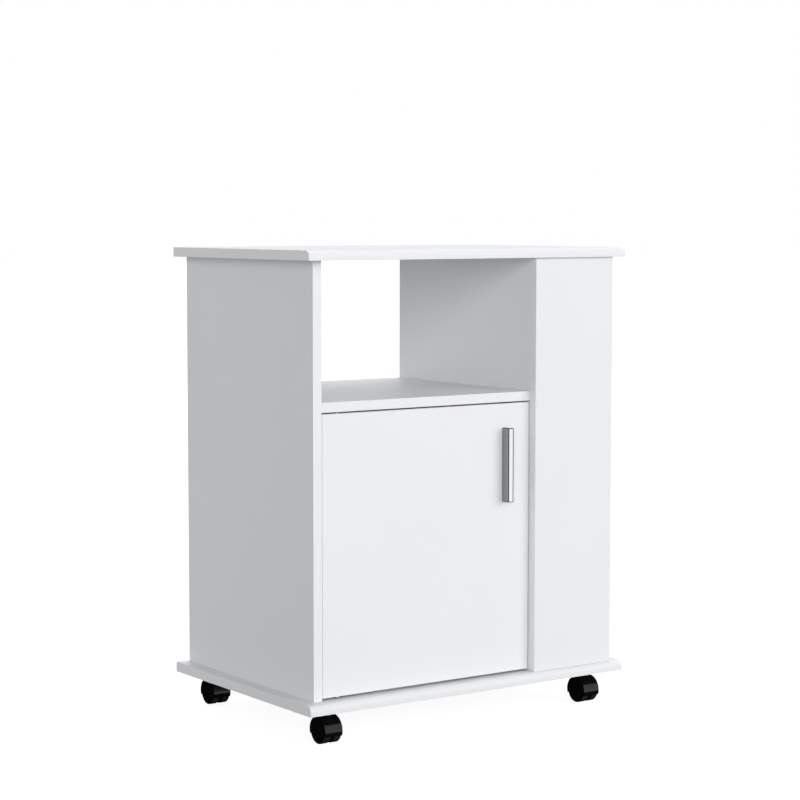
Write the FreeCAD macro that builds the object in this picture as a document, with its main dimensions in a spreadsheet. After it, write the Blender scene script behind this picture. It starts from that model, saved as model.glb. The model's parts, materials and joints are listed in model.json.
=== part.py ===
"""Microwave cart: white boards joined with cams and dowels, one inset door, four twin-wheel casters.

Millimetres. X runs to the right, Y to the back, Z up. The origin is on the floor under the middle of the boards.
"""
import FreeCAD, Part
import Sketcher
import os
import re

doc = FreeCAD.newDocument("MicrowaveCart")
Vector = FreeCAD.Vector

# ---------------------------------------------------------------- driving dimensions

dimensions = {
    # boards
    "board_length": 600, "board_depth": 400, "board_thick": 15, "base_depth": 402.4, "base_thick": 16,
    "soft_edge": 10, "edge_round": 0.8,
    "cabinet_width": 560, "cabinet_height": 685, "front_overhang": 21.5, "side_depth": 372,
    "divider_reach": 404, "niche_floor": 461, "bay_shelf_low": 238.5,
    "shelf_play": 1, "shelf_setback": 42, "shelf_depth": 310,
    # board joints: cam bolts, cam locks and dowels
    "cam_inset": 47, "cam_reach": 34, "cam_bore": 15, "cam_bore_deep": 12.5,
    "cam_width": 14.8, "cam_thick": 12, "cam_mouth": 7.8, "cam_slot": 1.6, "cam_slot_long": 8,
    "cam_slot_deep": 1.5, "bolt_bore": 8, "bolt_shank": 5, "bolt_head": 7, "bolt_head_long": 3,
    "bolt_thread": 5.8, "bolt_thread_long": 10.5, "pilot_deep": 11, "bolt_collar": 7.4, "bolt_collar_long": 1.2,
    "dowel_inset": 85, "dowel_width": 8, "dowel_in_face": 10, "dowel_in_edge": 20, "dowel_gap": 0.5,
    "dowel_bevel": 1, "bay_bolt_inset": 87, "bay_dowel_inset": 30, "shelf_bolt_inset": 60, "end_dowel_inset": 80,
    # shelf pegs in rows of holes
    "peg_width": 5, "peg_deep": 8, "peg_reach": 9, "peg_collar": 8, "peg_collar_long": 1,
    "peg_row_step": 32, "peg_front": 77, "peg_rear": 63,
    # door and its pivots
    "door_hinge_gap": 0.7, "door_latch_gap": 1.2, "door_top_gap": 2.2, "door_foot_gap": 3.5,
    "pivot_inset": 30, "pivot_setback": 6.5, "pivot_pin": 5, "pivot_pin_deep": 12, "pivot_pin_out": 8,
    "pivot_play": 0.05, "pivot_gap": 0.3, "bush_width": 8, "bush_deep": 9, "bush_flange": 10,
    "bush_flange_thick": 1,
    # handle
    "handle_left": 349.8, "handle_wide": 10.4, "handle_out": 16.8, "handle_long": 116, "handle_foot": 290.2,
    "handle_flank": 2.6, "handle_lip": 3.2, "handle_end": 16, "handle_round": 1.5, "handle_pitch": 96,
    "bolt_width": 4, "bolt_hole": 4.5, "bolt_bite": 8, "bolt_cap": 8, "bolt_cap_thick": 2.6,
    # magnetic catch on the divider and its strike plate on the door
    "catch_wide": 14, "catch_out": 17, "catch_tall": 42, "catch_centre": 392, "catch_gap": 0.3,
    "catch_pitch": 30, "catch_ear": 4, "catch_wall": 1,
    "magnet_wide": 7, "magnet_tall": 18, "magnet_deep": 9, "magnet_proud": 0.5,
    "strike_wide": 13, "strike_tall": 40, "strike_thick": 1.5, "strike_inset": 9, "strike_pitch": 31,
    # wood screws
    "screw_width": 3.5, "screw_long": 10, "screw_cap": 6.6, "screw_cap_thick": 1.8,
    "long_screw_width": 4, "long_screw_long": 38, "long_screw_cap": 8, "long_screw_cap_thick": 2.4,
    "back_screw_inset": 45,
    # casters
    "caster_height": 53, "caster_left_inset": 54.3, "caster_right_inset": 46.6, "caster_end_inset": 37,
    "plate_wide": 38, "plate_thick": 2, "plate_corner": 4, "plate_pitch": 28,
    "wheel_radius": 20, "wheel_wide": 11.7, "wheel_round": 0.8, "wheel_trail": 5.4, "wheel_gap": 0.3,
    "wheel_dish": 14, "wheel_dish_deep": 1.6, "wheel_hub": 6, "wheel_cap": 2.5,
    "axle_width": 5, "axle_end_gap": 0.3, "spin_play": 0.05, "web_wide": 6, "web_radius": 19,
    "hood_gap": 0.5, "hood_wall": 1.5, "hood_over": 0.4, "hood_skirt": 7, "neck_width": 16,
    "king_width": 7, "king_gap": 0.6, "king_floor": 22.5, "king_end_gap": 0.3,
    "king_bead": 0.35, "king_bead_up": 2, "king_bead_long": 1.6,
}
near = 0.01  # how close a place must be to count as the same

sheet = doc.addObject("Spreadsheet::Sheet", "Dims")
for row, (alias, value) in enumerate(dimensions.items(), start=1):
    sheet.set(f"A{row}", alias)
    sheet.set(f"B{row}", str(value))
    sheet.setAlias(f"B{row}", alias)
doc.recompute()


def formula(text):
    """Arithmetic on aliases, as an expression that reads the sheet."""
    return re.sub(r"[a-z_]+", lambda word: "Dims." + word[0] if word[0] in dimensions else word[0], str(text))


def number(text):
    """The present value of arithmetic on aliases."""
    return float(sheet.evalExpression(formula(text)))


def point(spot):
    """The present position of a spot given as three pieces of arithmetic."""
    return Vector(*[number(text) for text in spot])


def place(thing, corner):
    """Ties an object's position to the sheet."""
    for axis, text in zip("xyz", corner):
        thing.setExpression("Placement.Base." + axis, formula(text))


# planes of the cart that several pieces share
base_top = "(caster_height + base_thick)"
top_under = "(caster_height + cabinet_height - board_thick)"
wall_tall = "(cabinet_height - board_thick - base_thick)"
cupboard_tall = "(niche_floor - board_thick - base_thick)"
niche_shelf_under = "(caster_height + niche_floor - board_thick)"
low_shelf_under = "(caster_height + bay_shelf_low - board_thick)"
left_face = "(-cabinet_width / 2)"
left_inner = "(board_thick - cabinet_width / 2)"
right_face = "(cabinet_width / 2)"
front_face = "(front_overhang - board_depth / 2)"
wall_rear = "(front_overhang - board_depth / 2 + side_depth)"
divider_left = "(divider_reach - cabinet_width / 2)"
divider_right = "(divider_reach - cabinet_width / 2 + board_thick)"
divider_rear = "(front_overhang - board_depth / 2 + side_depth - board_thick)"
divider_deep = "(side_depth - board_thick)"
bay_wide = "(cabinet_width - divider_reach - board_thick)"
bay_front_wide = "(cabinet_width - divider_reach)"
half = "board_thick / 2"

# ---------------------------------------------------------------- sketches and features


def new_body(name):
    """An empty body with its own name."""
    return doc.addObject("PartDesign::Body", name)


def new_sketch(body, role, offset=0):
    """A sketch on one of the body's own origin planes, moved along that plane's normal."""
    sketch = body.newObject("Sketcher::SketchObject", body.Name + "_sketch")
    plane = next(plane for plane in body.Origin.OriginFeatures if plane.Role == role)
    sketch.AttachmentSupport = [(plane, "")]
    sketch.MapMode = "FlatFace"
    sketch.setExpression("AttachmentOffset.Base.z", formula(offset))
    return sketch


def fix_point(sketch, element, end, spot):
    """Ties one point of a sketch to the sheet; a zero puts it on the sketch's axis."""
    for kind, text, axis in (("DistanceX", spot[0], -2), ("DistanceY", spot[1], -1)):
        if text == 0:
            sketch.addConstraint(Sketcher.Constraint("PointOnObject", element, end, axis))
        else:
            index = sketch.addConstraint(Sketcher.Constraint(kind, -1, 1, element, end, number(text)))
            sketch.setExpression(f"Constraints[{index}]", formula(text))


def draw_outline(sketch, spots):
    """A closed outline of straight lines through the spots."""
    corners = [Vector(number(x), number(y), 0) for x, y in spots]
    first = sketch.GeometryCount
    for start, end in zip(corners, corners[1:] + corners[:1]):
        sketch.addGeometry(Part.LineSegment(start, end), False)
    for step, spot in enumerate(spots):
        following = first + (step + 1) % len(spots)
        sketch.addConstraint(Sketcher.Constraint("Coincident", first + step, 2, following, 1))
        fix_point(sketch, first + step, 1, spot)


def draw_circle(sketch, spot, width):
    """A circle about a spot."""
    centre = Vector(number(spot[0]), number(spot[1]), 0)
    element = sketch.addGeometry(Part.Circle(centre, Vector(0, 0, 1), number(width) / 2), False)
    fix_point(sketch, element, 3, spot)
    index = sketch.addConstraint(Sketcher.Constraint("Diameter", element, number(width)))
    sketch.setExpression(f"Constraints[{index}]", formula(width))


def box_outline(wide, deep, x="0", y="0"):
    """The four corners of a rectangle whose first corner is at x, y."""
    x, y = (0 if text == "0" else text for text in (x, y))
    right = wide if x == 0 else f"({x}) + ({wide})"
    back = deep if y == 0 else f"({y}) + ({deep})"
    return [(x, y), (right, y), (right, back), (x, back)]


def pad(body, sketch, length, middle=False):
    """Adds the sketch's outline, pushed along its normal."""
    feature = body.newObject("PartDesign::Pad", body.Name + "_pad")
    feature.Profile = sketch
    feature.setExpression("Length", formula(length))
    feature.SideType = "Symmetric" if middle else "One side"
    return feature


def pocket(body, sketch, length, reverse=False, middle=False):
    """Cuts the sketch's outline, against its normal unless reversed."""
    feature = body.newObject("PartDesign::Pocket", body.Name + "_pocket")
    feature.Profile = sketch
    feature.setExpression("Length", formula(length))
    feature.Reversed = reverse
    feature.SideType = "Symmetric" if middle else "One side"
    return feature


def revolve(body, sketch, axis="V_Axis"):
    """Turns the sketch's outline about one of its axes."""
    feature = body.newObject("PartDesign::Revolution", body.Name + "_turned")
    feature.Profile = sketch
    feature.ReferenceAxis = (sketch, [axis])
    return feature


def round_edges(body, radius, wanted):
    """Rounds every edge of the body so far whose middle the test accepts."""
    doc.recompute()
    base = body.Tip
    names = [f"Edge{index}" for index, edge in enumerate(base.Shape.Edges, start=1)
             if wanted(edge, edge.CenterOfMass)]
    feature = body.newObject("PartDesign::Fillet", body.Name + "_round")
    feature.Base = (base, names)
    feature.setExpression("Radius", formula(radius))
    return feature


def turned(name, outline):
    """A body turned about Z from an outline of radius and height."""
    body = new_body(name)
    sketch = new_sketch(body, "XZ_Plane")
    draw_outline(sketch, outline)
    revolve(body, sketch)
    return body


# ---------------------------------------------------------------- nodes and groups of fasteners

nodes = {}


def keep(name, thing):
    """Names an object as one sub-part of the cart."""
    thing.Label = name
    nodes[name] = thing
    return thing


def group(name, pattern, seats):
    """Identical fasteners as separate solids, one on each seat."""
    copies = []
    for seat in seats:
        copy = pattern.Shape.copy()
        copy.Placement = seat
        copies.append(copy)
    feature = doc.addObject("Part::Feature", name)
    feature.Shape = Part.makeCompound(copies)
    feature.Placement = FreeCAD.Placement()
    return keep(name, feature)


def seat(spot, axis):
    """The placement that turns a fastener's own Z to the axis at a spot."""
    return FreeCAD.Placement(point(spot), FreeCAD.Rotation(Vector(0, 0, 1), axis))


# ---------------------------------------------------------------- boards

# for each face of a board: its sketch plane, its way out, and the axes that the sketch shows
faces = {
    "left": ("YZ_Plane", Vector(-1, 0, 0), (1, 2)),
    "right": ("YZ_Plane", Vector(1, 0, 0), (1, 2)),
    "front": ("XZ_Plane", Vector(0, -1, 0), (0, 2)),
    "rear": ("XZ_Plane", Vector(0, 1, 0), (0, 2)),
    "bottom": ("XY_Plane", Vector(0, 0, -1), (0, 1)),
    "top": ("XY_Plane", Vector(0, 0, 1), (0, 1)),
}

boards = {
    "top_board": (("-board_length / 2", "-board_depth / 2", top_under),
                  ("board_length", "board_depth", "board_thick")),
    "base_board": (("-board_length / 2", "-base_depth / 2", "caster_height"),
                   ("board_length", "base_depth", "base_thick")),
    "left_side_panel": ((left_face, front_face, base_top), ("board_thick", "side_depth", wall_tall)),
    "divider_panel": ((divider_left, front_face, base_top), ("board_thick", divider_deep, wall_tall)),
    "niche_shelf": ((left_inner, front_face, niche_shelf_under),
                    ("divider_reach - board_thick", divider_deep, "board_thick")),
    "bay_front_panel": ((divider_left, f"{front_face} - board_thick", base_top),
                        (bay_front_wide, "board_thick", wall_tall)),
    "bay_back_panel": ((divider_right, f"{divider_rear} - board_thick", base_top),
                       (bay_wide, "board_thick", wall_tall)),
    "bay_shelf_upper": ((divider_right, front_face, niche_shelf_under),
                        (bay_wide, f"{divider_deep} - board_thick", "board_thick")),
    "bay_shelf_lower": ((divider_right, front_face, low_shelf_under),
                        (bay_wide, f"{divider_deep} - board_thick", "board_thick")),
    "cupboard_back_panel": ((left_inner, divider_rear, base_top),
                            ("divider_reach", "board_thick", cupboard_tall)),
    "cupboard_shelf": ((f"{left_inner} + shelf_play", f"{front_face} + shelf_setback", low_shelf_under),
                       ("divider_reach - board_thick - 2 * shelf_play", "shelf_depth", "board_thick")),
}

bores = {}


def bore(board, face, spot, width, deep):
    """Notes one hole to drill into a board's face at a spot of the cart."""
    bores.setdefault((board, face, width, deep), []).append(spot)


def drill(body, face, corner, extent, spots, width, deep):
    """Drills all holes of one size into one face, and checks that they did cut."""
    plane, out, shown = faces[face]
    across = extent[next(axis for axis in range(3) if axis not in shown)]
    offset = {"right": across, "top": across, "rear": f"-({across})"}.get(face, 0)
    sketch = new_sketch(body, plane, offset)
    for spot in spots:
        draw_circle(sketch, [f"({spot[axis]}) - ({corner[axis]})" for axis in shown], width)
    before = body.Shape.Volume
    pocket(body, sketch, deep, reverse=face in ("left", "bottom", "rear"))
    doc.recompute()
    if body.Shape.Volume > before - 1:
        raise ValueError(f"the holes in the {face} of {body.Label} cut nothing")


def add_boards():
    """Each board as a rectangle padded upwards, its edges rounded, then drilled."""
    for name, (corner, extent) in boards.items():
        body = new_body(name)
        sketch = new_sketch(body, "XY_Plane")
        draw_outline(sketch, box_outline(extent[0], extent[1]))
        pad(body, sketch, extent[2])
        tall = number(extent[2])
        if name in ("top_board", "base_board"):
            round_edges(body, "soft_edge", lambda edge, middle: abs(middle.y) < near and abs(middle.z - tall) < near)
        if name == "bay_front_panel":
            round_edges(body, "edge_round", lambda edge, middle: abs(middle.y) < near
                        and abs(middle.z - tall / 2) < near)
        doc.recompute()
        for (board, face, width, deep), spots in bores.items():
            if board == name:
                drill(body, face, corner, extent, spots, width, deep)
        place(body, corner)
        keep(name, body)


# ---------------------------------------------------------------- joints between the boards

bolt_seats = []
cam_seats = []
dowel_seats = []


def moved(spot, axis, length):
    """A spot moved along a unit axis by a length of the sheet."""
    return [f"{text} + ({part:g}) * ({length})" if part else text for text, part in zip(spot, axis)]


def cam_joint(bolt_board, bolt_face, cam_board, cam_edge, cam_face, spot):
    """A bolt from one board's face into the edge of another, drawn tight by a cam in that board's face."""
    inward = faces[bolt_face][1]
    out = faces[cam_face][1]
    bore(bolt_board, bolt_face, spot, "bolt_thread", "pilot_deep")
    bore(cam_board, cam_edge, spot, "bolt_bore", "cam_reach")
    cam_spot = moved(moved(spot, inward, "cam_reach"), out, half)
    bore(cam_board, cam_face, cam_spot, "cam_bore", "cam_bore_deep")
    bolt_seats.append(seat(spot, inward))
    turn = FreeCAD.Rotation(inward * -1, Vector(), out, "ZXY")
    cam_seats.append(FreeCAD.Placement(point(cam_spot), turn))


def dowel_joint(face_board, face, edge_board, edge, spot):
    """A dowel from one board's face into the edge of another."""
    bore(face_board, face, spot, "dowel_width", "dowel_in_face + dowel_gap")
    bore(edge_board, edge, spot, "dowel_width", "dowel_in_edge + dowel_gap")
    dowel_seats.append(seat(spot, faces[face][1]))


def spread(low, high, inset):
    """Three levels or places: one inset from each end and one in the middle."""
    return [f"{low} + {inset}", f"({low} + {high}) / 2", f"{high} - {inset}"]


def plan_joints():
    """Lists every cam bolt and dowel of the carcass."""
    flats = (("top_board", "bottom", "top", top_under), ("base_board", "top", "bottom", base_top))
    for flat, face, edge, level in flats:
        for wall, x, rear in (("left_side_panel", f"{left_face} + {half}", wall_rear),
                              ("divider_panel", f"{divider_left} + {half}", divider_rear)):
            for y in (f"{front_face} + cam_inset", f"{rear} - cam_inset"):
                cam_joint(flat, face, wall, edge, "right", (x, y, level))
            for y in (f"{front_face} + dowel_inset", f"{rear} - dowel_inset"):
                dowel_joint(flat, face, wall, edge, (x, y, level))
        for wall, cam_face, left, wide, y in (
                ("bay_front_panel", "rear", divider_left, bay_front_wide, f"{front_face} - {half}"),
                ("bay_back_panel", "front", divider_right, bay_wide, f"{divider_rear} - {half}")):
            cam_joint(flat, face, wall, edge, cam_face, (f"{left} + {wide} / 2", y, level))
            for x in (f"{left} + bay_dowel_inset", f"{right_face} - bay_dowel_inset"):
                dowel_joint(flat, face, wall, edge, (x, y, level))
    shelf_middle = f"{niche_shelf_under} + {half}"
    for wall, face, edge, x in (("left_side_panel", "right", "left", left_inner),
                                ("divider_panel", "left", "right", divider_left)):
        for y in (f"{front_face} + shelf_bolt_inset", f"{divider_rear} - shelf_bolt_inset"):
            cam_joint(wall, face, "niche_shelf", edge, "bottom", (x, y, shelf_middle))
        dowel_joint(wall, face, "niche_shelf", edge, (x, f"{front_face} + {divider_deep} / 2", shelf_middle))
    for shelf, level in (("bay_shelf_upper", niche_shelf_under), ("bay_shelf_lower", low_shelf_under)):
        z = f"{level} + {half}"
        x = f"{divider_right} + {bay_wide} / 2"
        for y in (f"{front_face} + bay_bolt_inset", f"{divider_rear} - board_thick - bay_bolt_inset"):
            cam_joint("divider_panel", "right", shelf, "left", "bottom", (divider_right, y, z))
        dowel_joint("bay_front_panel", "rear", shelf, "front", (x, front_face, z))
        dowel_joint("bay_back_panel", "front", shelf, "rear", (x, f"{divider_rear} - board_thick", z))
    for z in spread(base_top, top_under, "end_dowel_inset"):
        dowel_joint("bay_front_panel", "rear", "divider_panel", "front", (f"{divider_left} + {half}", front_face, z))
        dowel_joint("divider_panel", "right", "bay_back_panel", "left", (divider_right, f"{divider_rear} - {half}", z))
    back_middle = f"{divider_rear} + {half}"
    for z in (f"{base_top} + end_dowel_inset", f"{niche_shelf_under} - end_dowel_inset"):
        dowel_joint("left_side_panel", "right", "cupboard_back_panel", "left", (left_inner, back_middle, z))
    for x in (f"{left_inner} + end_dowel_inset", f"{divider_left} - end_dowel_inset"):
        dowel_joint("base_board", "top", "cupboard_back_panel", "bottom", (x, back_middle, base_top))


def ring(width, low, high):
    """The two outer corners of one step of a turned piece."""
    return [(f"({width}) / 2", low), (f"({width}) / 2", high)]


def slot_cross(body, long, slot, deep, top):
    """Cuts a cross for a driver into the top of a turned fastener."""
    sketch = new_sketch(body, "XY_Plane", top)
    a, b = f"({long}) / 2", f"({slot}) / 2"
    corners = [(a, b), (b, b), (b, a), (f"-{b}", a), (f"-{b}", b), (f"-{a}", b),
               (f"-{a}", f"-{b}"), (f"-{b}", f"-{b}"), (f"-{b}", f"-{a}"), (b, f"-{a}"), (b, f"-{b}"), (a, f"-{b}")]
    draw_outline(sketch, corners)
    pocket(body, sketch, deep)


def add_joint_fittings():
    """The cam bolts, cam locks and dowels."""
    bolt = turned("cam_bolt_pattern", [(0, "-bolt_thread_long")] + ring("bolt_thread", "-bolt_thread_long", 0)
                  + ring("bolt_collar", 0, "bolt_collar_long")
                  + ring("bolt_shank", "bolt_collar_long", "cam_reach - bolt_head_long / 2")
                  + ring("bolt_head", "cam_reach - bolt_head_long / 2", "cam_reach + bolt_head_long / 2")
                  + [(0, "cam_reach + bolt_head_long / 2")])
    cam = turned("cam_lock_pattern", [(0, "-cam_thick")] + ring("cam_width", "-cam_thick", 0) + [(0, 0)])
    mouth = new_sketch(cam, "YZ_Plane", "-bolt_head_long")
    draw_circle(mouth, (0, f"-{half}"), "cam_mouth")
    pocket(cam, mouth, "cam_width", reverse=True)
    slot_cross(cam, "cam_slot_long", "cam_slot", "cam_slot_deep", 0)
    tip = "dowel_width - 2 * dowel_bevel"
    dowel = turned("dowel_pattern", [(0, "-dowel_in_face")] + ring(tip, "-dowel_in_face", "-dowel_in_face")[:1]
                   + ring("dowel_width", "dowel_bevel - dowel_in_face", "dowel_in_edge - dowel_bevel")
                   + ring(tip, "dowel_in_edge", "dowel_in_edge")[:1] + [(0, "dowel_in_edge")])
    doc.recompute()
    group("cam_bolts", bolt, bolt_seats)
    group("cam_locks", cam, cam_seats)
    group("wood_dowels", dowel, dowel_seats)


def screw(name, width, long, cap, cap_thick):
    """A pan-head screw whose Z points out of the head, with the head's seat at zero."""
    blunt_tip, crown = f"({width}) / 4", f"({cap}) / 3"
    cross_long, cross_slot, cross_deep = f"({cap}) / 2", f"({cap}) / 8", f"({cap_thick}) / 2"
    body = turned(name, [(0, f"-({long})"), (blunt_tip, f"-({long})")] + ring(width, f"({width}) - ({long})", 0)
                  + ring(cap, 0, f"({cap_thick}) / 2") + [(crown, cap_thick), (0, cap_thick)])
    slot_cross(body, cross_long, cross_slot, cross_deep, cap_thick)
    doc.recompute()
    return body


# ---------------------------------------------------------------- cupboard fittings


def plan_peg_holes():
    """Rows of shelf-peg holes in both walls of the cupboard; returns the seats of the four pegs in use."""
    seats = []
    for wall, face, x in (("left_side_panel", "right", left_inner), ("divider_panel", "left", divider_left)):
        for y in (f"{front_face} + peg_front", f"{divider_rear} - peg_rear"):
            for step in (-1, 0, 1):
                spot = (x, y, f"{low_shelf_under} - peg_collar / 2 + {step} * peg_row_step")
                bore(wall, face, spot, "peg_width", "peg_deep")
                if step == 0:
                    seats.append(seat(spot, faces[face][1]))
    return seats


def add_pegs(seats):
    """The four pegs that carry the cupboard shelf."""
    peg = turned("shelf_peg_pattern", [(0, "-peg_deep")] + ring("peg_width", "-peg_deep", 0)
                 + ring("peg_collar", 0, "peg_collar_long + peg_reach") + [(0, "peg_collar_long + peg_reach")])
    doc.recompute()
    group("shelf_pegs", peg, seats)


def plan_back_screws():
    """Screws through the cupboard's back panel into the divider's rear edge."""
    seats = []
    for z in spread(base_top, niche_shelf_under, "back_screw_inset"):
        spot = (f"{divider_left} + {half}", wall_rear, z)
        bore("cupboard_back_panel", "rear", spot, "long_screw_width", "board_thick")
        bore("divider_panel", "rear", spot, "long_screw_width", "long_screw_long - board_thick")
        seats.append(seat(spot, faces["rear"][1]))
    return seats


# ---------------------------------------------------------------- door

door_corner = (f"{left_inner} + door_hinge_gap", front_face, f"{base_top} + door_foot_gap")
door_size = ("divider_reach - board_thick - door_hinge_gap - door_latch_gap", "board_thick",
             f"{cupboard_tall} - door_foot_gap - door_top_gap")
door_top = f"{niche_shelf_under} - door_top_gap"
door_back = f"({front_face} + board_thick)"
pivot_x = f"({left_inner} + door_hinge_gap + pivot_inset)"
pivot_y = f"({front_face} + pivot_setback)"
handle_corner = (f"{left_face} + handle_left", f"{front_face} - handle_out", "caster_height + handle_foot")
handle_bolt_x = f"{left_face} + handle_left + (handle_wide + handle_flank) / 2"
handle_middle = "caster_height + handle_foot + handle_long / 2"
handle_bolt_levels = [f"{handle_middle} {sign} handle_pitch / 2" for sign in "-+"]
strike_x = f"{divider_left} - door_latch_gap - strike_inset"
catch_z = "caster_height + catch_centre"
strike_spots = [(strike_x, door_back, f"{catch_z} {sign} strike_pitch / 2") for sign in "-+"]


def add_door():
    """The door leaf with its pivot holes, handle holes and strike-plate pilot."""
    for spot, face in (((pivot_x, pivot_y, door_corner[2]), "bottom"), ((pivot_x, pivot_y, door_top), "top")):
        bore("door_panel", face, spot, "pivot_pin", "pivot_pin_deep")
    for z in handle_bolt_levels:
        bore("door_panel", "rear", (handle_bolt_x, door_back, z), "bolt_hole", "board_thick")
    for spot in strike_spots:
        bore("door_panel", "rear", spot, "screw_width", "screw_long - strike_thick")
    body = new_body("door_panel")
    sketch = new_sketch(body, "XY_Plane")
    draw_outline(sketch, box_outline(door_size[0], door_size[1]))
    pad(body, sketch, door_size[2])
    round_edges(body, "edge_round", lambda edge, middle: abs(middle.y) < near)
    doc.recompute()
    for (board, face, width, deep), spots in bores.items():
        if board == "door_panel":
            drill(body, face, door_corner, door_size, spots, width, deep)
    place(body, door_corner)
    keep("door_panel", body)


def add_handle(screws):
    """A block pull with a closed left flank, hollowed from the right between its two ends."""
    body = new_body("door_handle")
    sketch = new_sketch(body, "XY_Plane")
    draw_outline(sketch, box_outline("handle_wide", "handle_out"))
    pad(body, sketch, "handle_long")
    round_edges(body, "handle_round", lambda edge, middle: abs(middle.y - number("handle_out")) > near)
    hollow = new_sketch(body, "YZ_Plane", "handle_wide")
    draw_outline(hollow, box_outline("handle_out - handle_lip", "handle_long - 2 * handle_end",
                                     "handle_lip", "handle_end"))
    pocket(body, hollow, "handle_wide - handle_flank")
    threads = new_sketch(body, "XZ_Plane", "-handle_out")
    for sign in "-+":
        draw_circle(threads, ("(handle_wide + handle_flank) / 2", f"handle_long / 2 {sign} handle_pitch / 2"),
                    "bolt_width")
    pocket(body, threads, "bolt_bite", reverse=True)
    place(body, handle_corner)
    keep("door_handle", body)
    back = faces["rear"][1]
    group("handle_screws", screws, [seat((handle_bolt_x, door_back, z), back) for z in handle_bolt_levels])


def add_pivots():
    """Two steel pins set in the door's edges, each turning in a flanged nylon bush."""
    outer = "bush_flange_thick + pivot_gap"
    for side, level, way in (("lower", base_top, 1), ("upper", niche_shelf_under, -1)):
        gap = "door_foot_gap" if side == "lower" else "door_top_gap"
        pin = [(0, "-pivot_pin_out")] + ring("pivot_pin", "-pivot_pin_out", outer)
        pin += ring("bush_width", outer, gap) + ring("pivot_pin", gap, f"{gap} + pivot_pin_deep")
        pin_body = turned(f"pivot_pin_{side}", pin + [(0, f"{gap} + pivot_pin_deep")])
        hole = "pivot_pin / 2 + pivot_play"
        bush_body = turned(f"pivot_bush_{side}", [(hole, "-bush_deep")] + ring("bush_width", "-bush_deep", 0)
                           + ring("bush_flange", 0, "bush_flange_thick") + [(hole, "bush_flange_thick")])
        for body in (pin_body, bush_body):
            body.Placement.Rotation = FreeCAD.Rotation(Vector(1, 0, 0), 0 if way > 0 else 180)
            place(body, (pivot_x, pivot_y, level))
            keep(body.Name, body)


def add_catch(screws):
    """A magnetic catch on the divider, behind the door, and the strike plate that it holds."""
    case_y = f"{door_back} + strike_thick + catch_gap + magnet_proud"
    case_corner = (f"{divider_left} - catch_wide", case_y, f"{catch_z} - catch_tall / 2")
    case = new_body("catch_case")
    sketch = new_sketch(case, "XY_Plane")
    draw_outline(sketch, box_outline("catch_wide", "catch_out"))
    pad(case, sketch, "catch_tall")
    for z in ("0", "(catch_tall + magnet_tall) / 2 + catch_wall"):
        ear = new_sketch(case, "XZ_Plane")
        draw_outline(ear, box_outline("catch_wide - catch_ear", "(catch_tall - magnet_tall) / 2 - catch_wall", "0", z))
        pocket(case, ear, "catch_out")
    well = new_sketch(case, "XZ_Plane")
    draw_outline(well, box_outline("magnet_wide", "magnet_tall", "(catch_wide - magnet_wide) / 2",
                                   "(catch_tall - magnet_tall) / 2"))
    pocket(case, well, "magnet_deep")
    holes = new_sketch(case, "YZ_Plane", "catch_wide")
    for sign in "-+":
        draw_circle(holes, ("catch_out / 2", f"catch_tall / 2 {sign} catch_pitch / 2"), "screw_width")
    pocket(case, holes, "catch_ear")
    place(case, case_corner)
    keep("catch_case", case)

    magnet = new_body("catch_magnet")
    sketch = new_sketch(magnet, "XY_Plane")
    draw_outline(sketch, box_outline("magnet_wide", "magnet_deep + magnet_proud"))
    pad(magnet, sketch, "magnet_tall")
    place(magnet, (f"{case_corner[0]} + (catch_wide - magnet_wide) / 2", f"{case_y} - magnet_proud",
                   f"{catch_z} - magnet_tall / 2"))
    keep("catch_magnet", magnet)

    seats = []
    for sign in "-+":
        spot = (f"{divider_left} - catch_ear", f"{case_y} + catch_out / 2", f"{catch_z} {sign} catch_pitch / 2")
        seats.append(seat(spot, faces["left"][1]))
    group("catch_screws", screws, seats)

    plate = new_body("strike_plate")
    sketch = new_sketch(plate, "XY_Plane")
    draw_outline(sketch, box_outline("strike_wide", "strike_thick"))
    pad(plate, sketch, "strike_tall")
    holes = new_sketch(plate, "XZ_Plane")
    for sign in "-+":
        draw_circle(holes, ("strike_wide / 2", f"strike_tall / 2 {sign} strike_pitch / 2"), "screw_width")
    pocket(plate, holes, "strike_thick")
    place(plate, (f"{strike_x} - strike_wide / 2", door_back, f"{catch_z} - strike_tall / 2"))
    keep("strike_plate", plate)
    on_plate = [moved(spot, faces["rear"][1], "strike_thick") for spot in strike_spots]
    group("strike_screws", screws, [seat(spot, faces["rear"][1]) for spot in on_plate])


# ---------------------------------------------------------------- casters

caster_ends = {"front": "caster_end_inset - base_depth / 2", "rear": "base_depth / 2 - caster_end_inset"}
caster_sides = {"left": "caster_left_inset - board_length / 2", "right": "board_length / 2 - caster_right_inset"}
plate_under = "(caster_height - plate_thick)"
well_radius = "(wheel_radius + hood_gap)"
hood_radius = "(wheel_radius + hood_gap + hood_wall)"
well_wide = "(wheel_gap + wheel_wide + hood_over)"
hood_wide = f"(web_wide + 2 * {well_wide})"


def add_plate(name, x, y):
    """The steel plate under the base board, with four screw holes and the king pin's hole."""
    body = new_body("plate_" + name)
    sketch = new_sketch(body, "XY_Plane")
    reach = "plate_wide / 2"
    draw_outline(sketch, box_outline("plate_wide", "plate_wide", f"-{reach}", f"-{reach}"))
    pad(body, sketch, "plate_thick")
    round_edges(body, "plate_corner", lambda edge, middle: abs(middle.z - number("plate_thick") / 2) < near)
    holes = new_sketch(body, "XY_Plane", "plate_thick")
    draw_circle(holes, (0, 0), "king_width")
    for across in "-+":
        for along in "-+":
            draw_circle(holes, (f"{across}plate_pitch / 2", f"{along}plate_pitch / 2"), "screw_width")
    pocket(body, holes, "plate_thick")
    place(body, (x, y, plate_under))
    keep("caster_plate_" + name, body)


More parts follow.
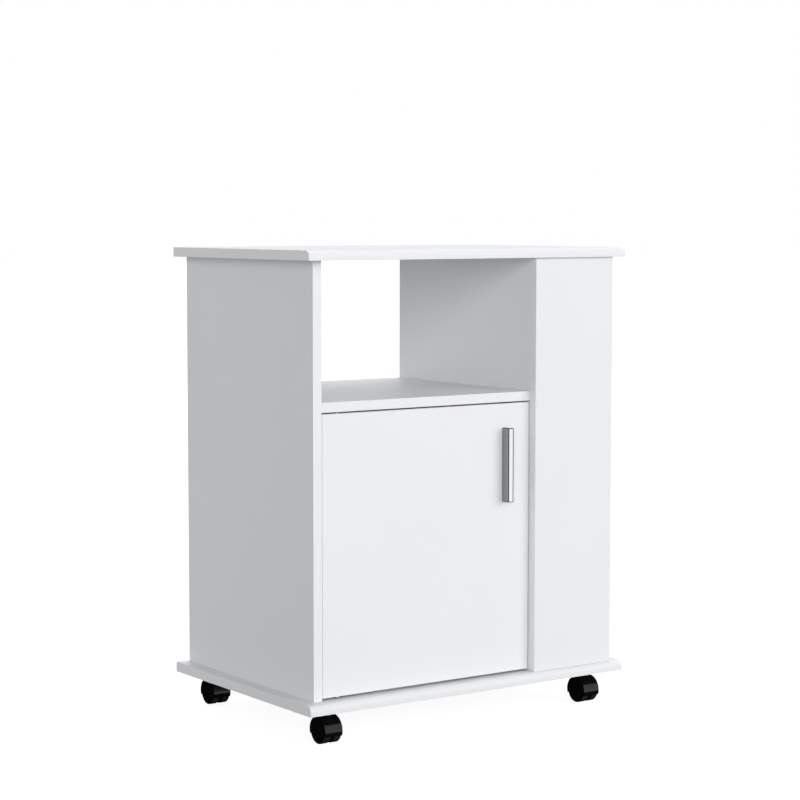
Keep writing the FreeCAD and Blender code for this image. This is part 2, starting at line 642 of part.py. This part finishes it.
def add_king_pin(name, x, y):
    """The pin riveted into the plate; its bead snaps into a groove of the hood's neck."""
    body = turned("king_pin_" + name, king_outline("0"))
    place(body, (x, y, "wheel_radius"))
    keep("king_pin_" + name, body)


def king_outline(play):
    """Outline of the king pin, or with play of the hole for it, above the axle's level."""
    low = "king_floor"
    bead = f"{low} + king_bead_up"
    shaft = f"king_width + 2 * ({play})"
    swelling = f"king_width + 2 * ({play}) + 2 * king_bead"
    start = low if play == "0" else f"{low} - king_end_gap"
    return ([(0, start)] + ring(shaft, start, f"{bead} - {play}")
            + ring(swelling, f"{bead} + king_bead - {play}", f"{bead} + king_bead_long - king_bead + {play}")
            + ring(shaft, f"{bead} + king_bead_long + {play}", "caster_height - wheel_radius")
            + [(0, "caster_height - wheel_radius")])


def add_hood(name, x, y):
    """The hood over both treads: a drum cut off under the axle, a neck, two open wells and a web between them."""
    body = new_body("hood_" + name)
    drum = new_sketch(body, "YZ_Plane")
    draw_circle(drum, ("wheel_trail", 0), f"2 * {hood_radius}")
    pad(body, drum, hood_wide, middle=True)
    neck = new_sketch(body, "XY_Plane")
    draw_circle(neck, (0, 0), "neck_width")
    pad(body, neck, f"{plate_under} - king_gap - wheel_radius")
    for side in (-1, 1):
        well = new_sketch(body, "YZ_Plane", f"{side} * (web_wide + {well_wide}) / 2")
        draw_circle(well, ("wheel_trail", 0), f"2 * {well_radius}")
        pocket(body, well, well_wide, middle=True)
    skirt = new_sketch(body, "XZ_Plane", "-wheel_trail")
    reach = f"2 * {hood_radius}"
    draw_outline(skirt, box_outline(f"2 * {reach}", reach, f"-{reach}", f"-hood_skirt - {reach}"))
    pocket(body, skirt, f"2 * {reach}", middle=True)
    web = new_sketch(body, "YZ_Plane")
    draw_circle(web, ("wheel_trail", 0), "2 * web_radius")
    pad(body, web, "web_wide", middle=True)
    hole = new_sketch(body, "XZ_Plane")
    draw_outline(hole, king_outline("spin_play"))
    groove = body.newObject("PartDesign::Groove", body.Name + "_groove")
    groove.Profile = hole
    groove.ReferenceAxis = (hole, ["V_Axis"])
    axle_hole = new_sketch(body, "YZ_Plane")
    draw_circle(axle_hole, ("wheel_trail", 0), "axle_width")
    pocket(body, axle_hole, "web_wide", middle=True)
    place(body, (x, y, "wheel_radius"))
    keep("caster_hood_" + name, body)


def add_axle(name, x, y):
    """The steel axle held in the hood's web; its ends stop inside the wheels."""
    body = new_body("axle_" + name)
    sketch = new_sketch(body, "YZ_Plane")
    draw_circle(sketch, (0, 0), "axle_width")
    pad(body, sketch, "web_wide + 2 * (wheel_gap + wheel_wide - wheel_cap - axle_end_gap)", middle=True)
    place(body, (x, f"{y} + wheel_trail", "wheel_radius"))
    keep("caster_axle_" + name, body)


def add_wheel(name, x, y, side):
    """One wheel, turned about X: dished on both faces, closed outside, with a blind bore for the axle inside."""
    body = new_body("wheel_" + name)
    sketch = new_sketch(body, "XZ_Plane")
    rim, dish = "wheel_wide / 2", "wheel_wide / 2 - wheel_dish_deep"
    hole, bore_end = "axle_width / 2 + spin_play", "wheel_wide / 2 - wheel_cap"
    outer = [(rim, "wheel_hub"), (dish, "wheel_hub"), (dish, "wheel_dish"), (rim, "wheel_dish"),
             (rim, "wheel_radius")]
    inner = [(f"-({across})", up) for across, up in reversed(outer)]
    draw_outline(sketch, [(rim, 0)] + outer + inner + [(f"-{rim}", hole), (bore_end, hole), (bore_end, 0)])
    revolve(body, sketch, "H_Axis")
    round_edges(body, "wheel_round", lambda edge, middle: edge.Curve.TypeId == "Part::GeomCircle"
                and abs(edge.Curve.Radius - number("wheel_radius")) < near)
    body.Placement.Rotation = FreeCAD.Rotation(Vector(0, 0, 1), 0 if side > 0 else 180)
    place(body, (f"{x} + ({side}) * ((web_wide + wheel_wide) / 2 + wheel_gap)", f"{y} + wheel_trail", "wheel_radius"))
    keep("caster_wheel_" + name, body)


def add_casters(screws):
    """Four casters, all trailing to the back."""
    seats = []
    for end, y in caster_ends.items():
        for side, x in caster_sides.items():
            name = f"{end}_{side}"
            add_plate(name, x, y)
            add_king_pin(name, x, y)
            add_hood(name, x, y)
            add_axle(name, x, y)
            add_wheel(name + "_outer", x, y, -1 if side == "left" else 1)
            add_wheel(name + "_inner", x, y, 1 if side == "left" else -1)
            for across in "-+":
                for along in "-+":
                    spot = (f"{x} {across} plate_pitch / 2", f"{y} {along} plate_pitch / 2", plate_under)
                    seats.append(seat(spot, faces["bottom"][1]))
                    bore("base_board", "bottom", spot, "screw_width", "screw_long - plate_thick")
    group("caster_screws", screws, seats)


# ---------------------------------------------------------------- the whole cart

wood_screw = screw("wood_screw_pattern", "screw_width", "screw_long", "screw_cap", "screw_cap_thick")
long_screw = screw("long_screw_pattern", "long_screw_width", "long_screw_long", "long_screw_cap",
                   "long_screw_cap_thick")
handle_bolt = screw("handle_bolt_pattern", "bolt_width", "board_thick + bolt_bite", "bolt_cap", "bolt_cap_thick")

plan_joints()
peg_seats = plan_peg_holes()
back_screw_seats = plan_back_screws()
bore("base_board", "top", (pivot_x, pivot_y, base_top), "bush_width", "bush_deep")
bore("niche_shelf", "bottom", (pivot_x, pivot_y, niche_shelf_under), "bush_width", "bush_deep")
for catch_sign in "-+":
    catch_y = f"{door_back} + strike_thick + catch_gap + magnet_proud + catch_out / 2"
    bore("divider_panel", "left", (divider_left, catch_y, f"{catch_z} {catch_sign} catch_pitch / 2"),
         "screw_width", "screw_long - catch_ear")
add_casters(wood_screw)
add_boards()
add_joint_fittings()
add_pegs(peg_seats)
group("back_panel_screws", long_screw, back_screw_seats)
add_door()
add_handle(handle_bolt)
add_pivots()
add_catch(wood_screw)
doc.recompute()

failed = [thing.Label for thing in doc.Objects if "Invalid" in thing.State or "Error" in thing.State]
failed += [name for name, thing in nodes.items() if thing.Shape.isNull() or not thing.Shape.isValid()]
if failed:
    raise ValueError(f"these objects failed: {failed}")

os.makedirs("parts", exist_ok=True)
for name, thing in nodes.items():
    thing.Shape.exportStep(f"parts/{name}.step")
print(f"{len(nodes)} sub-parts written")
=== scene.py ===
import bpy
import bmesh
import json
import math
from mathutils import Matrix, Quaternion, Vector


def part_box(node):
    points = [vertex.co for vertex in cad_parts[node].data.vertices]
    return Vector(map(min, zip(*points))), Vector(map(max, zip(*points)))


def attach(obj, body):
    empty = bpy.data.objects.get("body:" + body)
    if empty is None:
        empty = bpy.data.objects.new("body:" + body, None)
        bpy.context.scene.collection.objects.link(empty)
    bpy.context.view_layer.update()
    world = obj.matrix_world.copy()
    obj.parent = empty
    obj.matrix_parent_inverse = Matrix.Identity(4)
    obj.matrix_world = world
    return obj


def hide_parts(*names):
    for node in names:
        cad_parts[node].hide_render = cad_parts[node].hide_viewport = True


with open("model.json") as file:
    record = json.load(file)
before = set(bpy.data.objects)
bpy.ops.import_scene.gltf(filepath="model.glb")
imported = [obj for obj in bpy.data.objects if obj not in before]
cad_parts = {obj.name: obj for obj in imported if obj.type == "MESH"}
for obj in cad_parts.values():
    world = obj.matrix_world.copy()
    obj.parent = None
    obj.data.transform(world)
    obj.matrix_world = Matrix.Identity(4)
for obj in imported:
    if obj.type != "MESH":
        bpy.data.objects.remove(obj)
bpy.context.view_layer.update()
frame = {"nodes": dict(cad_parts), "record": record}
nodes = frame["nodes"]
record = frame["record"]
bodyOf = {name: body for body, members in record["behaviour"]["bodies"].items() for name in members}
slotOf = {row["node"]: row["material_slot"] for row in record["subparts"]}
print("frame loaded:", len(nodes), "nodes")


# shader maths as plain Python: a Signal is one output socket of a node tree
class Signal:
    def __init__(self, tree, socket):
        self.tree, self.socket = tree, socket

    def maths(self, operation, first, second):
        node = self.tree.nodes.new("ShaderNodeMath")
        node.operation = operation
        for slot, value in zip(node.inputs, (first, second)):
            feed(self.tree, slot, value)
        return Signal(self.tree, node.outputs[0])

    def __add__(self, other):
        return self.maths("ADD", self, other)

    def __radd__(self, other):
        return self.maths("ADD", other, self)

    def __sub__(self, other):
        return self.maths("SUBTRACT", self, other)

    def __rsub__(self, other):
        return self.maths("SUBTRACT", other, self)

    def __mul__(self, other):
        return self.maths("MULTIPLY", self, other)

    def __rmul__(self, other):
        return self.maths("MULTIPLY", other, self)


def feed(tree, slot, value):  # a Signal is linked to the socket, anything else is set on it
    if isinstance(value, Signal):
        tree.links.new(value.socket, slot)
    else:
        slot.default_value = value


# one node tree, with a method that adds any node
class Graph:
    def __init__(self, tree):
        self.tree = tree

    def node(self, kind, settings=None, values=None, output=0):
        node = self.tree.nodes.new(kind)
        for name, value in (settings or {}).items():
            setattr(node, name, value)
        for name, value in (values or {}).items():
            feed(self.tree, node.inputs[name], value)
        return Signal(self.tree, node.outputs[output])

    def blend(self, amount, first, second):
        colours = {0: amount, 6: first, 7: second}  # the Mix node's factor and its two colour sockets
        return self.node("ShaderNodeMix", {"data_type": "RGBA"}, colours, output=2)

    def seenDirectly(self):  # 1 for what the camera, a mirror or glass shows, 0 for light on the object
        rays = self.node("ShaderNodeLightPath").socket.node.outputs
        camera, glossy, through = (Signal(self.tree, rays[name]) for name in
                                   ("Is Camera Ray", "Is Glossy Ray", "Is Transmission Ray"))
        return camera + glossy + through


# one material under construction
class Finish(Graph):
    def __init__(self, name):
        self.material = bpy.data.materials.new(name)
        self.material.use_nodes = True
        super().__init__(self.material.node_tree)
        self.surface = self.tree.nodes["Principled BSDF"]
        self.place = self.node("ShaderNodeTexCoord", output="Object")

    def noise(self, scale, detail=2.0, stretch=(1, 1, 1), roughness=0.5):
        spread = self.node("ShaderNodeMapping", values={"Vector": self.place, "Scale": stretch})
        return self.node("ShaderNodeTexNoise", values={"Vector": spread, "Scale": scale, "Detail": detail,
                                                       "Roughness": roughness})

    def bump(self, height, strength, distance):
        return self.node("ShaderNodeBump", values={"Height": height, "Strength": strength,
                                                   "Distance": distance})

    def set(self, **values):
        for name, value in values.items():
            feed(self.tree, self.surface.inputs[name.replace("_", " ")], value)
        return self.material


# camera
shot = {"place": (-2.01248, -2.87598, 0.78863), "turn": 34.988, "tilt": 4.809, "roll": 0.035,
        "lensPixels": 2194.9, "imagePixels": 800, "sensor": 36, "near": 0.05, "far": 60}


def makeCamera():
    lens = bpy.data.cameras.new("shotCamera")
    lens.sensor_width = shot["sensor"]
    lens.lens = shot["lensPixels"] / shot["imagePixels"] * shot["sensor"]
    lens.clip_start, lens.clip_end = shot["near"], shot["far"]
    camera = bpy.data.objects.new("shotCamera", lens)
    turn, tilt = math.radians(shot["turn"]), math.radians(shot["tilt"])
    ahead = Vector((math.sin(turn) * math.cos(tilt), math.cos(turn) * math.cos(tilt), -math.sin(tilt)))
    roll = Quaternion((0, 0, 1), math.radians(shot["roll"]))
    camera.rotation_mode = "QUATERNION"
    camera.rotation_quaternion = ahead.to_track_quat("-Z", "Y") @ roll
    camera.location = shot["place"]
    bpy.context.scene.collection.objects.link(camera)
    bpy.context.scene.camera = camera


makeCamera()
bpy.context.scene.view_settings.view_transform = "Standard"
print("camera set")


# studio: a white dome, a pale floor and three broad far lamps
dome = {"forLight": 0.35}  # its strength as a light; it is seen at 1


def makeDome():
    world = bpy.data.worlds.new("studioDome")
    bpy.context.scene.world = world
    world.use_nodes = True
    graph = Graph(world.node_tree)
    sky = graph.tree.nodes["Background"]
    sky.inputs["Color"].default_value = (1, 1, 1, 1)
    level = graph.seenDirectly() * (1 - dome["forLight"]) + dome["forLight"]
    feed(graph.tree, sky.inputs["Strength"], level)


floorLook = {"size": 60, "pale": 0.35, "cloudShade": 0.98, "cloudScale": 3, "cloudDetail": 3,
             "glow": 0.9, "roughness": 0.9}


def makeFloor():  # pale paper that takes the shadow, lifted to white where it is seen
    half = floorLook["size"] / 2
    corners = [(-half, -half, 0), (half, -half, 0), (half, half, 0), (-half, half, 0)]
    mesh = bpy.data.meshes.new("studioFloor")
    mesh.from_pydata(corners, [], [(0, 1, 2, 3)])
    floor = bpy.data.objects.new("studioFloor", mesh)
    bpy.context.scene.collection.objects.link(floor)
    paper = Finish("paleFloor")
    pale, glow = floorLook["pale"], floorLook["glow"]
    cloudy = pale * floorLook["cloudShade"]
    cloud = paper.noise(floorLook["cloudScale"], floorLook["cloudDetail"])
    paper.set(Base_Color=paper.blend(cloud, (pale, pale, pale, 1), (cloudy, cloudy, pale, 1)),
              Emission_Color=paper.blend(paper.seenDirectly(), (0, 0, 0, 1), (glow, glow, glow, 1)),
              Emission_Strength=1.0, Roughness=floorLook["roughness"], Specular_IOR_Level=0.0)
    mesh.materials.append(paper.material)


lamps = {"keyLamp": {"turn": 30, "tilt": 12, "strength": 1.79, "soft": 54},
         "fillLamp": {"turn": -34, "tilt": 11, "strength": 1.31, "soft": 26},
         "backLamp": {"turn": 140, "tilt": 52, "strength": 1.5, "soft": 40}}
lampAway = 4


def makeLamps():  # two low ones at both sides of the front, a high one behind
    for name, look in lamps.items():
        lamp = bpy.data.lights.new(name, "SUN")
        lamp.energy = look["strength"]
        lamp.angle = math.radians(look["soft"])
        turn, tilt = math.radians(look["turn"]), math.radians(look["tilt"])
        source = Vector((math.sin(turn) * math.cos(tilt), -math.cos(turn) * math.cos(tilt), math.sin(tilt)))
        lampObject = bpy.data.objects.new(name, lamp)
        lampObject.rotation_mode = "QUATERNION"
        lampObject.rotation_quaternion = (-source).to_track_quat("-Z", "Y")
        lampObject.location = source * lampAway
        lampObject.visible_glossy = False  # the metal mirrors the pale dome, not the lamps
        bpy.context.scene.collection.objects.link(lampObject)


makeDome()
makeFloor()
makeLamps()
print("studio ready")


# white melamine: faint clouds, a pearl grain and a film of grease that varies the sheen
melamineLook = {"gloss": 0.36, "cloudScale": 6, "cloudDetail": 3, "pearlScale": 850, "pearlDetail": 2,
                "pearlStrength": 0.35, "pearlDepth": 0.00006, "greaseScale": 38, "greaseDetail": 4,
                "greaseRoughness": 0.62, "sheenSwing": 0.10}
melamines = {
    "white_board": {"name": "whiteMelamine", "white": (0.80, 0.812, 0.83, 1),
                    "dull": (0.775, 0.788, 0.808, 1), "roughness": 0.42},
    "white_door": {"name": "whiteMelamineDoor", "white": (0.81, 0.822, 0.84, 1),
                   "dull": (0.785, 0.798, 0.818, 1), "roughness": 0.40},
}


def makeMelamine(name, white, dull, roughness):
    look = melamineLook
    coat = Finish(name)
    cloud = coat.noise(look["cloudScale"], look["cloudDetail"])
    pearl = coat.noise(look["pearlScale"], look["pearlDetail"])
    grease = coat.noise(look["greaseScale"], look["greaseDetail"], roughness=look["greaseRoughness"])
    return coat.set(Base_Color=coat.blend(cloud, white, dull),
                    Roughness=roughness + (grease - 0.5) * look["sheenSwing"],
                    Specular_IOR_Level=look["gloss"],
                    Normal=coat.bump(pearl, look["pearlStrength"], look["pearlDepth"]))


# metals: patches of tone under fine streaks
metalLook = {"streakDetail": 3, "patchScale": 90, "patchDetail": 4, "sheenSwing": 0.16,
             "bumpStrength": 0.12, "bumpDepth": 0.00004}
brushed = (1, 1, 0.03)  # streaks drawn out along the pull
even = (1, 1, 1)
metals = {
    # the pull's flank is a darker copy of the pull's metal: painted shade
    "bright_pull": {"name": "pullFlank", "bright": (0.36, 0.36, 0.363, 1),
                    "dull": (0.31, 0.31, 0.312, 1), "roughness": 0.3, "streaks": 700, "stretch": brushed},
    "plated_steel": {"name": "zincPlatedSteel", "bright": (0.62, 0.63, 0.65, 1),
                     "dull": (0.5, 0.51, 0.53, 1), "roughness": 0.3, "streaks": 900, "stretch": even},
    "zinc_casting": {"name": "castZinc", "bright": (0.5, 0.5, 0.51, 1),
                     "dull": (0.38, 0.38, 0.39, 1), "roughness": 0.46, "streaks": 1500, "stretch": even},
}


def makeMetal(name, bright, dull, roughness, streaks, stretch):
    look = metalLook
    metal = Finish(name)
    streak = metal.noise(streaks, look["streakDetail"], stretch)
    patch = metal.noise(look["patchScale"], look["patchDetail"])
    return metal.set(Base_Color=metal.blend(patch, bright, dull), Metallic=1.0,
                     Roughness=roughness + (streak - 0.5) * look["sheenSwing"],
                     Normal=metal.bump(streak, look["bumpStrength"], look["bumpDepth"]))


# moulded plastic and pressed ferrite: worn patches over a fine grain
mouldedLook = {"patchScale": 60, "patchDetail": 4, "grainDetail": 2, "sheenSwing": 0.14, "bumpStrength": 0.4}
moulded = {
    "white_nylon": {"name": "whiteNylon", "tone": (0.76, 0.76, 0.74, 1), "worn": (0.7, 0.7, 0.68, 1),
                    "roughness": 0.45, "grain": 1800, "depth": 0.00004},
    "dark_nylon": {"name": "darkNylon", "tone": (0.19, 0.19, 0.193, 1), "worn": (0.16, 0.16, 0.162, 1),
                   "roughness": 0.5, "grain": 1800, "depth": 0.00004},
    "ferrite_magnet": {"name": "ferrite", "tone": (0.035, 0.035, 0.038, 1),
                       "worn": (0.06, 0.06, 0.062, 1), "roughness": 0.62, "grain": 2400, "depth": 0.0001},
    # on the dressed hoods only a band keeps this glossy black: a painted highlight
    "black_hood": {"name": "blackHood", "tone": (0.0030, 0.0030, 0.0031, 1),
                   "worn": (0.0045, 0.0045, 0.0046, 1), "roughness": 0.25, "grain": 2200,
                   "depth": 0.00003, "gloss": 0.45},
    "black_wheel": {"name": "blackWheel", "tone": (0.019, 0.019, 0.0193, 1),
                    "worn": (0.025, 0.025, 0.025, 1), "roughness": 0.6, "grain": 1600,
                    "depth": 0.00004, "gloss": 0.0},
}


def makeMoulded(name, tone, worn, roughness, grain, depth, gloss=0.5):
    look = mouldedLook
    plastic = Finish(name)
    patch = plastic.noise(look["patchScale"], look["patchDetail"])
    sparks = plastic.noise(grain, look["grainDetail"])
    return plastic.set(Base_Color=plastic.blend(patch, tone, worn),
                       Roughness=roughness + (patch - 0.5) * look["sheenSwing"],
                       Normal=plastic.bump(sparks, look["bumpStrength"], depth), Specular_IOR_Level=gloss)


# fluted beech of the dowels
beechLook = {"dark": (0.62, 0.42, 0.24, 1), "pale": (0.75, 0.58, 0.38, 1), "ringScale": 420,
             "ringDetail": 4, "ringStretch": (1, 1, 0.12), "poreScale": 2600, "poreDetail": 2,
             "poreStretch": (1, 1, 0.1), "roughness": 0.6, "sheenSwing": 0.2, "poreStrength": 0.3,
             "poreDepth": 0.0001}


def makeBeech():
    look = beechLook
    wood = Finish("beechDowel")
    rings = wood.noise(look["ringScale"], look["ringDetail"], look["ringStretch"])
    pores = wood.noise(look["poreScale"], look["poreDetail"], look["poreStretch"])
    return wood.set(Base_Color=wood.blend(rings, look["dark"], look["pale"]),
                    Roughness=look["roughness"] + (pores - 0.5) * look["sheenSwing"],
                    Normal=wood.bump(pores, look["poreStrength"], look["poreDepth"]))


finishes = {"beech_dowel": makeBeech()}
finishes.update((slot, makeMelamine(**look)) for slot, look in melamines.items())
finishes.update((slot, makeMetal(**look)) for slot, look in metals.items())
finishes.update((slot, makeMoulded(**look)) for slot, look in moulded.items())
for node, slot in slotOf.items():
    slots = nodes[node].data.materials
    slots.clear()
    slots.append(finishes[slot])
print("finishes made:", len(finishes))


# dressing a board, a caster or the pull: a copy of its mesh gets detail and takes the node's place
meshCare = {"weld": 1e-6, "flatDegrees": 0.6, "onCut": 1e-7, "evenWeight": 100}


def copyNode(name, suffix):
    mesh = nodes[name].data.copy()
    piece = bpy.data.objects.new(name + suffix, mesh)
    bpy.context.scene.collection.objects.link(piece)
    solid = bmesh.new()
    solid.from_mesh(mesh)
    bmesh.ops.remove_doubles(solid, verts=solid.verts, dist=meshCare["weld"])
    bmesh.ops.dissolve_limit(solid, angle_limit=math.radians(meshCare["flatDegrees"]),
                             verts=solid.verts, edges=solid.edges)
    return piece, mesh, solid


def cutAcross(solid, axis, place, sign=1):  # an edge loop at one place along an axis
    spot, out = Vector((0, 0, 0)), Vector((0, 0, 0))
    spot[axis], out[axis] = place, sign
    bmesh.ops.bisect_plane(solid, geom=solid.verts[:] + solid.edges[:] + solid.faces[:], plane_co=spot,
                           plane_no=out, dist=meshCare["onCut"])


def roundArrises(solid, look, width):
    edges = [edge for edge in solid.edges if len(edge.link_faces) == 2
             and edge.calc_face_angle(0) > math.radians(look["sharp"])]
    bmesh.ops.bevel(solid, geom=edges, offset=width, offset_type="OFFSET", segments=look["segments"],
                    profile=0.5, affect="EDGES", clamp_overlap=False)


def finishPiece(piece, mesh, solid, name, extras):
    for finish in extras:
        mesh.materials.append(finish)
    solid.to_mesh(mesh)
    solid.free()
    mesh.shade_smooth()
    shading = piece.modifiers.new("evenShading", "WEIGHTED_NORMAL")
    shading.keep_sharp = True
    shading.weight = meshCare["evenWeight"]
    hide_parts(name)
    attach(piece, bodyOf[name])


# boards, with banded edges and a small round on every arris
boardLook = {"bandThick": 0.0006, "glueThick": 0.00012, "arris": 0.00045, "fineArris": 0.00015,
             "fine": ("door_panel", "left_side_panel"), "segments": 3, "sharp": 50}
edgeBand = makeMelamine("edgeBand", (0.81, 0.82, 0.835, 1), (0.79, 0.80, 0.818, 1), 0.34)
glueLine = makeMoulded("glueLine", (0.42, 0.41, 0.39, 1), (0.36, 0.35, 0.33, 1), 0.7, 2000, 0.00003)
bandedEdges = {
    "top_board": ("left", "right", "rear"),
    "base_board": ("left", "right", "rear"),
    "left_side_panel": ("front", "rear"),
    "divider_panel": ("rear",),
    "niche_shelf": ("front", "rear"),
    "bay_front_panel": ("left", "right"),
    "bay_back_panel": ("right",),
    "bay_shelf_upper": ("right",),
    "bay_shelf_lower": ("right",),
    "cupboard_back_panel": ("right", "top"),
    "cupboard_shelf": ("front", "rear"),
    "door_panel": ("left", "right", "top", "bottom"),
}
sides = {"left": (0, -1), "right": (0, 1), "front": (1, -1), "rear": (1, 1), "bottom": (2, -1), "top": (2, 1)}


def bandEdge(solid, corners, side):
    axis, sign = sides[side]
    edge = corners[1 if sign > 0 else 0][axis]
    bandDeep = boardLook["bandThick"]
    glueDeep = bandDeep + boardLook["glueThick"]
    for deep in (bandDeep, glueDeep):
        cutAcross(solid, axis, edge - sign * deep, sign)
    for face in solid.faces:
        deep = (edge - face.calc_center_median()[axis]) * sign
        if deep < bandDeep:
            face.material_index = 1
        elif deep < glueDeep:
            face.material_index = 2


def dressBoards():
    for name, banded in bandedEdges.items():
        piece, mesh, solid = copyNode(name, "_banded")
        for side in banded:
            bandEdge(solid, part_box(name), side)
        isFine = name in boardLook["fine"]  # the gap at the hinges stays a hairline
        roundArrises(solid, boardLook, boardLook["fineArris" if isFine else "arris"])
        finishPiece(piece, mesh, solid, name, (edgeBand, glueLine))
    print("boards dressed:", len(bandedEdges))


dressBoards()


# casters, with moulded arrises, a glossy band across each hood as a painted highlight, and a matt black on
# the rest of the hood and on the wheels' sides as painted shade
casterLook = {"arris": 0.0003, "segments": 2, "sharp": 40, "rimShare": 0.9, "rimFacing": 0.8,
              "bandLow": -0.02, "bandHigh": 0.5}
# painted shade: a matt black without gloss on all of a hood but its band and on a wheel's sides, darker than
# the wheel's tread
blackCheek = makeMoulded("blackCheek", (0.0038, 0.0038, 0.0039, 1), (0.0055, 0.0055, 0.0056, 1), 0.6, 2200,
                         0.00003, gloss=0.0)


def onRim(face, hub, radius):  # true on the outer round of a hood or a wheel
    across = face.calc_center_median() - hub
    across.x = 0
    facing = face.normal.dot(across.normalized())
    return across.length > radius * casterLook["rimShare"] and facing > casterLook["rimFacing"]


def dressCasters():
    for name in sorted(nodes):
        if not name.startswith(("caster_hood", "caster_wheel")):
            continue
        isWheel = name.startswith("caster_wheel")
        corner = "_".join(name.split("_")[2:4])
        low, high = (Vector(spot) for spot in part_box(f"caster_wheel_{corner}_outer"))
        hub, radius = (low + high) / 2, (high.z - low.z) / 2
        piece, mesh, solid = copyNode(name, "_moulded")
        roundArrises(solid, casterLook, casterLook["arris"])
        for face in solid.faces:  # all but a wheel's tread and the hood's highlight band takes the painted-shade black
            highlightBandOrWheel = isWheel or casterLook["bandLow"] < face.normal.z < casterLook["bandHigh"]
            if not (highlightBandOrWheel and onRim(face, hub, radius)):
                face.material_index = 1
        finishPiece(piece, mesh, solid, name, (blackCheek,))
    print("casters dressed")


dressCasters()


# the pull, with a bright front, a brushed flank darkened as painted shade, and painted dark reflections on
# its arrises and right lip
pullLook = {"arris": 0.0004, "segments": 2, "sharp": 50, "flatness": 0.995, "lip": 0.0023}
pullFront = makeMetal("pullFront", (0.78, 0.78, 0.785, 1), (0.74, 0.74, 0.745, 1), 0.24, 700, brushed)
# painted dark reflection: a near-black finish for the pull's rounded arrises and the right strip of its front
pullArris = makeMoulded("pullArris", (0.045, 0.045, 0.046, 1), (0.06, 0.06, 0.06, 1), 0.5, 2200, 0.00003,
                        gloss=0.1)


def dressPull():
    name = "door_handle"
    piece, mesh, solid = copyNode(name, "_plated")
    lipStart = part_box(name)[1][0] - pullLook["lip"]
    cutAcross(solid, 0, lipStart)
    roundArrises(solid, pullLook, pullLook["arris"])
    # arrises and the front's right lip take the painted dark reflection, the other front faces the bright
    # front, the rest the flank's painted shade
    for face in solid.faces:
        isFlat = max(abs(part) for part in face.normal) >= pullLook["flatness"]
        onFront = face.normal.y < -pullLook["flatness"]
        if not isFlat or (onFront and face.calc_center_median().x > lipStart):
            face.material_index = 2
        elif face.normal.y < 0:
            face.material_index = 1
    finishPiece(piece, mesh, solid, name, (pullFront, pullArris))
    print("pull dressed")


dressPull()
